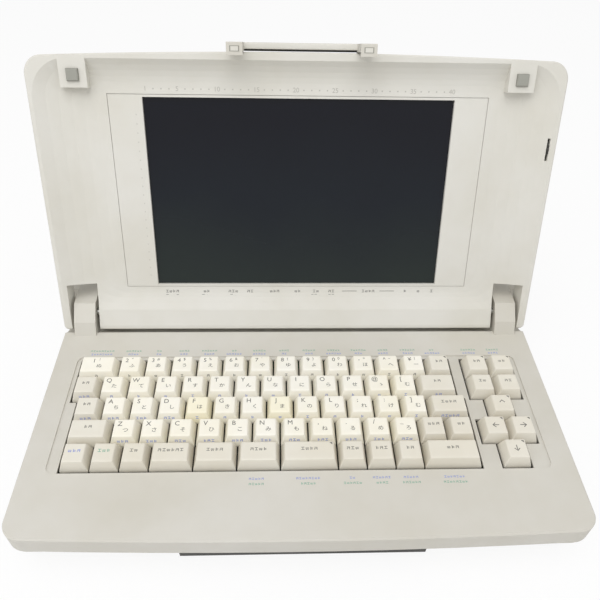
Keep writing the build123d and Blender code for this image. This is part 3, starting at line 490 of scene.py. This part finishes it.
YELLOWED = {("keys_letters_home", 3), ("keys_letters_home", 6)}
cap_pieces = {}
for node, cells in KEY_NODES.items():
    group = []
    for index, cell in enumerate(cells):
        key_cap = copy_of(caps[cell[1]], (*key_centre(cell), 0))
        finish = white_plastic if slot_of[node] == "key_white" else beige_plastic
        if (node, index) in YELLOWED:
            finish = sunned_plastic
        key_cap.data.materials.clear()
        key_cap.data.materials.append(finish)
        group.append(key_cap)
    piece = join("caps_" + node, group)
    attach(piece, body_of_node[node])
    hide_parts(node)
    cap_pieces[node] = piece
for piece in caps.values():
    bpy.data.objects.remove(piece)
print("cap pieces", len(cap_pieces))

# %% [markdown]
# ## Printed marks
# The marks are thin ink on the plastic. A letter or number is a text object made a mesh, and a
# caption is a row of small signs built of bars. Every mark is flat at first, then a shrinkwrap
# lays it on the surface under it and a solidify gives it the thickness of ink. The marks of one
# ink on one piece are joined, so that they move with it.

# %% Inks
INK = 0.03 * MM
LIFT = 0.01 * MM
MATT = ((0.5, 0.7), 2600.0, 0.04)
dark_ink = plastic("dark_ink", (84, 84, 80), (98, 97, 92), *MATT)
blue_ink = plastic("blue_ink", (112, 132, 206), (128, 146, 210), *MATT)
green_ink = plastic("green_ink", (88, 158, 132), (104, 168, 144), *MATT)
pale_ink = plastic("pale_ink", (176, 174, 167), (184, 181, 172), *MATT)
print("inks made")


# %% Letters and captions
def letter(text):
    """A character as a flat mesh, one unit high and centred on the origin."""
    clear()
    bpy.ops.object.text_add(location=(0, 0, 0))
    piece = bpy.context.object
    piece.data.body = text
    piece.data.size = 1.0
    piece.data.align_x = "CENTER"
    piece.data.align_y = "CENTER"
    piece.data.resolution_u = 3
    bpy.ops.object.convert(target="MESH")
    piece = bpy.context.object
    piece.name = "letter"
    return piece


def stroke(x, y, wide, tall):
    """A flat bar inside a cell of one unit, with its middle at x and y."""
    clear()
    bpy.ops.mesh.primitive_plane_add(size=1, location=(x - 0.5, y - 0.5, 0))
    piece = bpy.context.object
    piece.scale = (wide, tall, 1)
    settle(piece)
    return piece


THIN = 0.13
MARK_SHARE = 0.92
STROKES = [
    [(0.5, 0.85, 0.8, THIN), (0.5, 0.15, 0.8, THIN), (0.5, 0.5, THIN, 0.56)],
    [(0.5, 0.8, 0.7, THIN), (0.5, 0.5, 0.7, THIN),
     (0.2, 0.32, THIN, 0.5), (0.8, 0.45, THIN, 0.8)],
    [(0.3, 0.5, THIN, 0.9), (0.6, 0.62, 0.46, THIN), (0.6, 0.3, 0.46, THIN)],
    [(0.5, 0.62, 0.84, THIN), (0.5, 0.32, 0.84, THIN),
     (0.3, 0.14, THIN, 0.24), (0.7, 0.14, THIN, 0.24)],
]
marks = [join("mark", [stroke(*bar) for bar in bars]) for bars in STROKES]
square = stroke(0.5, 0.5, 1.0, 1.0)
dash = stroke(0.5, 0.5, 1.0, 0.03)
letters = {}
print("marks", len(marks))


# %% Stamps
def stamp(shape, size, place, turn=0.0):
    """A copy of a flat shape at a size and place, tipped up about X by an angle."""
    twin = copy_of(shape)
    lean = Matrix.Rotation(turn, 4, "X")
    twin.data.transform(Matrix.Translation(Vector(place)) @ lean @ Matrix.Scale(size, 4))
    return twin


def letter_stamp(text, size, place):
    """A letter at a size and place, modelled the first time that it is needed."""
    if text not in letters:
        letters[text] = letter(text)
    return stamp(letters[text], size, place)


def caption(count, size, place, turn=0.0, first=0):
    """A row of marks centred on a place. The first number varies which marks it holds."""
    row_of_marks = []
    for i in range(count):
        x = place[0] + (i - (count - 1) / 2) * size
        shape = marks[(first + i * 3 + count) % len(marks)]
        row_of_marks.append(stamp(shape, size * MARK_SHARE, (x, place[1], place[2]), turn))
    return row_of_marks


def print_on(name, stamps, ink, target, body):
    """Joins stamps, lays them on the surface of a piece and gives them an ink's thickness."""
    piece = join(name, stamps)
    modify(piece, "SHRINKWRAP", target=target, wrap_method="NEAREST_SURFACEPOINT",
           wrap_mode="ABOVE_SURFACE", offset=LIFT)
    modify(piece, "SOLIDIFY", thickness=INK, offset=1.0)
    wear(piece, ink, body)


# %% [markdown]
# ## Legends on the keys
# A letter key carries its letter at the upper left and its syllable below it to the right, and
# a small caption on its front slope.

# %% Key legends
DIGITS = list(zip("1234567890-^¥", "ぬふあうえおやゆよわほへー"))
SYMBOLS = "!\"#$%&'()0=~|"
UPPER = list(zip("QWERTYUIOP@[", "たていすかんなにらせゝむ"))
HOME = list(zip("ASDFGHJKL;:]", "ちとしはきくまのりれけむ"))
LOWER = list(zip("ZXCVBNM,./_", "つさそひこみもねるめろ"))
LEGENDS = {"keys_numbers": DIGITS, "keys_letters_upper": UPPER,
           "keys_letters_home": HOME, "keys_letters_lower": LOWER}
SURFACE = KEY_TOP - 0.1 * MM
SLOPE = math.atan2(KEY_TOP - PANEL_Z, CAP_TAPER[1] / 2 + CAP_SHIFT)
LETTER_SIZE = 4.6 * MM
LETTER_SPOT = (-2.6 * MM, 3.2 * MM)
SYLLABLE_SIZE = 3.9 * MM
SYLLABLE_SPOT = (1.4 * MM, -1.6 * MM)
SYMBOL_SIZE = 3.0 * MM
SYMBOL_SPOT = (1.0 * MM, 4.2 * MM)
FRONT_MARK = 2.5 * MM
FRONT_RISE = 3.6 * MM


def front_caption(cell, count, first):
    """A caption on the front slope of a key."""
    x, y = key_centre(cell)
    run = (CAP_TAPER[1] / 2 + CAP_SHIFT) * FRONT_RISE / (KEY_TOP - PANEL_Z)
    place = (x, y - (PITCH - KEY_GAP) / 2 + run, PANEL_Z + FRONT_RISE)
    return caption(count, FRONT_MARK, place, SLOPE, first)


def key_letter(cell, text, size, spot):
    """A letter on the top of a key, at a spot measured from its middle."""
    x, y = key_centre(cell)
    return letter_stamp(text, size, (x + spot[0], y + spot[1], SURFACE))


for node, pairs in LEGENDS.items():
    dark = []
    front = []
    for index, (cell, (main, syllable)) in enumerate(zip(KEY_NODES[node], pairs)):
        dark.append(key_letter(cell, main, LETTER_SIZE, LETTER_SPOT))
        dark.append(key_letter(cell, syllable, SYLLABLE_SIZE, SYLLABLE_SPOT))
        if node == "keys_numbers":
            dark.append(key_letter(cell, SYMBOLS[index], SYMBOL_SIZE, SYMBOL_SPOT))
        long_ones = node == "keys_letters_lower" or (node == "keys_letters_home" and index < 3)
        front += front_caption(cell, 3 if long_ones else 1, index)
    body = body_of_node[node]
    print_on("legend_dark_" + node, dark, dark_ink, cap_pieces[node], body)
    front_ink = dark_ink if node == "keys_numbers" else blue_ink
    print_on("legend_front_" + node, front, front_ink, cap_pieces[node], body)

# %% [markdown]
# ## Captions of the working keys
# The beige keys carry a short caption, and some a second one on the front slope. A few have a
# small dark triangle in a corner, and the four cursor keys have an arrow.

# %% Working keys
CAPTIONS = {"key_tab": [2], "key_caps": [2], "key_shift": [2], "key_backspace": [2],
            "key_upper_right": [2], "key_enter": [4], "keys_lower_right": [3, 2],
            "keys_function": [3, 3, 2, 6, 4, 4, 3, 3, 2], "key_space": [4],
            "key_function_wide": [3], "keys_edit": [2, 2, 2, 2]}
TINTS = {("keys_function", 0): "blue", ("keys_function", 1): "green"}
CORNERS = {"key_backspace": [0], "keys_edit": [0, 1], "key_space": [0], "key_up": [0],
           "key_left": [0], "key_right": [0], "key_down": [0]}
ARROWS = {"key_up": "↑", "key_left": "←", "key_right": "→", "key_down": "↓"}
FRONT_CAPTIONS = {"key_tab": 3, "key_caps": 3, "key_upper_right": 2, "key_enter": 5}
TOP_MARK = 2.7 * MM
TOP_RISE = 1.6 * MM
CORNER_SIZE = 1.7 * MM
CORNER_SPOT = (-1.6 * MM, 5.0 * MM)
ARROW_SIZE = 6.0 * MM
inks = {"dark": dark_ink, "blue": blue_ink, "green": green_ink}


def corner_mark():
    """A flat triangle for the corner of a key, one unit on its short sides."""
    clear()
    bpy.ops.mesh.primitive_circle_add(vertices=3, radius=0.6, fill_type="NGON")
    piece = bpy.context.object
    settle(piece)
    corners = [Vector((-0.5, 0.5, 0)), Vector((0.5, -0.5, 0)), Vector((0.5, 0.5, 0))]
    for vertex, corner in zip(piece.data.vertices, corners):
        vertex.co = corner
    activate(piece)
    bpy.ops.object.mode_set(mode="EDIT")
    bpy.ops.mesh.select_all(action="SELECT")
    bpy.ops.mesh.normals_make_consistent(inside=False)
    bpy.ops.object.mode_set(mode="OBJECT")
    return piece


triangle = corner_mark()
for node, target in cap_pieces.items():
    if node in LEGENDS:
        continue
    sorted_marks = {tint: [] for tint in inks}
    for index, cell in enumerate(KEY_NODES[node]):
        x, y = key_centre(cell)
        if node in CAPTIONS:
            tint = TINTS.get((node, index), "dark")
            place = (x, y + TOP_RISE, SURFACE)
            sorted_marks[tint] += caption(CAPTIONS[node][index], TOP_MARK, place, 0.0, index)
        if index in CORNERS.get(node, []):
            edge = (cell[1] * PITCH - KEY_GAP - CAP_TAPER[0]) / 2 + CORNER_SPOT[0]
            place = (x + edge, y + CORNER_SPOT[1], SURFACE)
            sorted_marks["dark"].append(stamp(triangle, CORNER_SIZE, place))
        if node in ARROWS:
            sorted_marks["dark"].append(key_letter(cell, ARROWS[node], ARROW_SIZE, (0, 0)))
        if node in FRONT_CAPTIONS:
            sorted_marks["blue"] += front_caption(cell, FRONT_CAPTIONS[node], index)
    for tint, stamps in sorted_marks.items():
        if stamps:
            print_on(f"legend_{tint}_{node}", stamps, inks[tint], target, body_of_node[node])

# %% [markdown]
# ## Captions on the deck
# Two lines of captions stand behind the number row, a green one over a blue one, each caption
# centred on its key, and two more lines stand in front of the bottom row.

# %% Deck captions
BACK_GREEN = [9, 6, 2, 4, 6, 2, 5, 4, 5, 5, 6, 4, 6, 2, 6, 5]
BACK_BLUE = [8, 4, 2, 3, 4, 6, 5, 2, 3, 6, 3, 4, 4, 6, 5, 4]
FRONT_BLUE = [5, 8, 2, 6, 5, 7]
FRONT_GREEN = [5, 5, 6, 4, 6, 8]
DECK_MARK = 1.9 * MM
DECK_SHIFT = 1.2 * MM
back_cells = ROW_1 + [(15.0, 1.0, 0), (16.0, 1.0, 0)]
front_cells = ROW_5[5:]
back_edge = KEY_Y + GRID_ROWS / 2 * PITCH
front_edge = KEY_Y - GRID_ROWS / 2 * PITCH
LINES = [(back_cells, BACK_GREEN, back_edge + 9.2 * MM, "green"),
         (back_cells, BACK_BLUE, back_edge + 6.0 * MM, "blue"),
         (front_cells, FRONT_BLUE, front_edge - 6.6 * MM, "blue"),
         (front_cells, FRONT_GREEN, front_edge - 10.2 * MM, "green")]
deck_marks = {"green": [], "blue": []}
for cells, counts, y, tint in LINES:
    for index, (cell, count) in enumerate(zip(cells, counts)):
        place = (key_centre(cell)[0] - DECK_SHIFT, y, DECK_Z)
        deck_marks[tint] += caption(count, DECK_MARK, place, 0.0, index)
for tint, stamps in deck_marks.items():
    print_on("deck_captions_" + tint, stamps, inks[tint], nodes["top_case"], "base")

# %% [markdown]
# ## Marks round the display
# A ruler of forty columns runs above the display with a number at every fifth, small ticks run
# down its left side for the lines, and a row of dark captions stands below it. They are laid out
# on the closed lid, where the face looks down, and then opened with it.

# %% Display marks
LID_REAR = 44.9 * MM
LID_FACE = 55.5 * MM
WINDOW_HALF = 102.0 * MM
COLUMNS = 40
RULER_RISE = 166.0 * MM
NUMBER_SIZE = 4.2 * MM
DOT_SIZE = 0.8 * MM
TICKS = 20
TICK_SIZE = 1.2 * MM
TICK_X = -106.5 * MM
TICK_START = 40
TICK_STEP = 5.8
UPPER_LINE = 27.6
LOWER_LINE = 24.2
WORD_MARK = 2.5 * MM
BOTTOM_WORDS = [(-92, 4, 4), (-67, 2, 3), (-47.5, 3, 2), (-35, 2, 0), (-17, 3, 0), (0, 2, 2),
                (13.5, 2, 3), (25, 2, 2), (52.5, 4, 0), (80, 1, 0), (90, 1, 0), (100, 1, 0)]
RULES = [(38.5, 11.0), (66.5, 11.0)]


def on_lid(piece):
    """Turns a mark laid out face up to the closed lid's inner face, and opens it."""
    flip = Matrix.Translation(Vector((0, LID_REAR, LID_FACE))) @ Matrix.Rotation(math.pi, 4, "X")
    piece.data.transform(flip)
    open_lid(piece)
    return piece


ruler = []
column = 2 * WINDOW_HALF / COLUMNS
for number in range(1, COLUMNS + 1):
    x = -WINDOW_HALF + (number - 0.5) * column
    if number == 1 or number % 5 == 0:
        ruler.append(on_lid(letter_stamp(str(number), NUMBER_SIZE, (x, RULER_RISE, 0))))
    else:
        ruler.append(on_lid(stamp(square, DOT_SIZE, (x, RULER_RISE, 0))))
print_on("ruler_marks", ruler, pale_ink, nodes["lid_bezel"], "lid")
ticks = [on_lid(stamp(marks[2], TICK_SIZE, (TICK_X, (TICK_START + TICK_STEP * i) * MM, 0)))
         for i in range(TICKS)]
print_on("line_ticks", ticks, pale_ink, nodes["lid_inset_panel"], "lid")
below = []
for index, (x, upper, lower) in enumerate(BOTTOM_WORDS):
    for count, height in ((upper, UPPER_LINE), (lower, LOWER_LINE)):
        word = caption(count, WORD_MARK, (x * MM, height * MM, 0), 0.0, index)
        below += [on_lid(mark) for mark in word]
for x, length in RULES:
    below.append(on_lid(stamp(dash, length * MM, (x * MM, UPPER_LINE * MM, 0))))
print_on("display_captions", below, dark_ink, nodes["lid_bezel"], "lid")

# %% [markdown]
# ## Latch bar
# The grip of the latch is a bar with soft edges that covers the plain bar of the frame, and a
# dark strip behind it paints the shadow in the gap between it and the lid. Each end block
# carries a small button in a grey frame that paints its shadow line.

# %% Latch bar and buttons
FRONT_Y = -143.5 * MM
LATCH_HALF = 36.0 * MM
HOOK_END = 29.7 * MM
BUTTON_X = 40.1 * MM
BUTTON_OUT = 1.6
BUTTON_RIM = 0.3 * MM
# Name, how far out it starts and ends, its two heights, its bevel and its steps, and its finish.
BARS = [("latch_grip", 5.15, 1.5, 47.6, 59.2, 0.7, 3, lid_plastic_painted_lighter),
        # The second bar is a dark strip that paints the shadow in the gap behind the grip.
        ("latch_gap", 1.6, 0.35, 51.0, 58.5, 0.2, 2, dark_plastic)]
# Name, width and height, how far it stands out, and its finish.
# The first pair is grey frames that paint the shadow line round each button.
BUTTONS = [("latch_button_frames", 5.8, 3.2, 0.06, grey_plastic),
           ("latch_buttons", 4.6, 2.5, 0.18, lid_plastic_painted_lighter)]
for name, outer, inner, bottom, top, radius, steps, finish in BARS:
    bar = box(name, (-LATCH_HALF, FRONT_Y - outer * MM, bottom * MM),
              (LATCH_HALF, FRONT_Y - inner * MM, top * MM))
    pick(bar, lambda a, b: abs(a.x - b.x) > MM, "edges")
    bpy.ops.mesh.bevel(offset=radius * MM, segments=steps)
    smooth(bar)
    open_lid(bar)
    wear(bar, finish, "latch")
for name, wide, tall, proud, finish in BUTTONS:
    pair = []
    for side in (-1, 1):
        low = (side * BUTTON_X - wide * MM / 2, FRONT_Y - (BUTTON_OUT + tall / 2) * MM,
               HOOK_END - proud * MM)
        high = (side * BUTTON_X + wide * MM / 2, FRONT_Y - (BUTTON_OUT - tall / 2) * MM,
                HOOK_END + 0.1 * MM)
        button = box("button", low, high)
        pick(button, lambda c, n: n.z < -0.9)
        bpy.ops.mesh.inset(thickness=BUTTON_RIM)
        clear()
        pair.append(button)
    buttons = join(name, pair)
    open_lid(buttons)
    wear(buttons, finish, "latch")

# %% [markdown]
# ## Clearing up
# The letters and bars that were only copied are taken away again.

# %% Remove the patterns
for pattern in [*letters.values(), *marks, square, dash, triangle]:
    bpy.data.objects.remove(pattern)

# %% [markdown]
# ## Light, floor and camera
# The part stands on a plain white floor in soft light: one broad lamp above and in front, a
# weaker one on each side, and a pale world that fills the shadows. The floor shows white to
# the camera and still takes the part's soft shadow.


# %% Floor
def white_floor():
    """A floor that is white to the camera and keeps a faint shadow."""
    clear()
    bpy.ops.mesh.primitive_plane_add(size=6.0, location=(0, 0, 0))
    floor = bpy.context.object
    floor.name = "floor"
    pick(floor, lambda c, n: True)
    bpy.ops.mesh.subdivide(number_cuts=3)
    clear()
    material, tree, shader = new_material("floor_white")
    shader.inputs["Base Color"].default_value = (0.85, 0.85, 0.85, 1.0)
    shader.inputs["Roughness"].default_value = 0.9
    glow = tree.nodes.new("ShaderNodeEmission")
    glow.inputs["Strength"].default_value = 1.0
    ray = tree.nodes.new("ShaderNodeLightPath")
    share = tree.nodes.new("ShaderNodeMath")
    share.operation = "MULTIPLY"
    share.inputs[1].default_value = 0.88
    blend = tree.nodes.new("ShaderNodeMixShader")
    tree.links.new(ray.outputs["Is Camera Ray"], share.inputs[0])
    tree.links.new(share.outputs["Value"], blend.inputs["Fac"])
    tree.links.new(shader.outputs["BSDF"], blend.inputs[1])
    tree.links.new(glow.outputs["Emission"], blend.inputs[2])
    tree.links.new(blend.outputs["Shader"], tree.nodes["Material Output"].inputs["Surface"])
    floor.data.materials.append(material)
    floor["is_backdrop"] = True


white_floor()

# %% Lamps and world
scene = bpy.context.scene
scene.view_settings.view_transform = "Standard"


def lamp(name, place, target, size, power):
    """A square area lamp aimed at a point."""
    data = bpy.data.lights.new(name, "AREA")
    data.shape = "SQUARE"
    data.size = size
    data.energy = power
    thing = bpy.data.objects.new(name, data)
    scene.collection.objects.link(thing)
    thing.location = place
    thing.rotation_euler = (Vector(target) - Vector(place)).to_track_quat("-Z", "Y").to_euler()
    print(name, power, "W")


lamp("lamp_above", (-0.2, -0.5, 1.5), (0, 0, 0.05), 1.2, 13.0)
lamp("lamp_left", (-1.3, -0.6, 0.8), (0, 0, 0.1), 1.0, 4.0)
lamp("lamp_right", (1.3, -0.4, 0.8), (0, 0, 0.1), 1.0, 3.0)
world = bpy.data.worlds.new("studio")
world.use_nodes = True
scene.world = world
world.node_tree.nodes["Background"].inputs["Color"].default_value = (1.0, 1.0, 1.0, 1.0)
world.node_tree.nodes["Background"].inputs["Strength"].default_value = 0.55

# %% [markdown]
# ## Camera
# The camera stands where the photograph was taken: about 46 degrees above the keyboard, a
# little left of the middle, turned and tipped by a degree or two.

# %% Camera
camera_data = bpy.data.cameras.new("camera")
camera_data.sensor_width = 36.0
camera_data.lens = 36.80
PICTURE_SIDE = 600.0
MIDDLE_SHIFT = 35.0
camera_data.shift_y = MIDDLE_SHIFT / PICTURE_SIDE
camera_data.clip_start = 0.01
camera = bpy.data.objects.new("camera", camera_data)
scene.collection.objects.link(camera)
camera.location = (-0.01558, -0.30060, 0.37400)
camera.rotation_euler = tuple(math.radians(v) for v in (44.1932, -1.4347, -1.6509))
scene.camera = camera
print("camera at", [round(v, 3) for v in camera.location])

# %% [markdown]
# ## Sizes
# The bounds after loading and at the end are gathered into a pair.

# %% Sizes
pair = [[list(corner) for corner in cad_bounds], [list(corner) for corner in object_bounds()]]
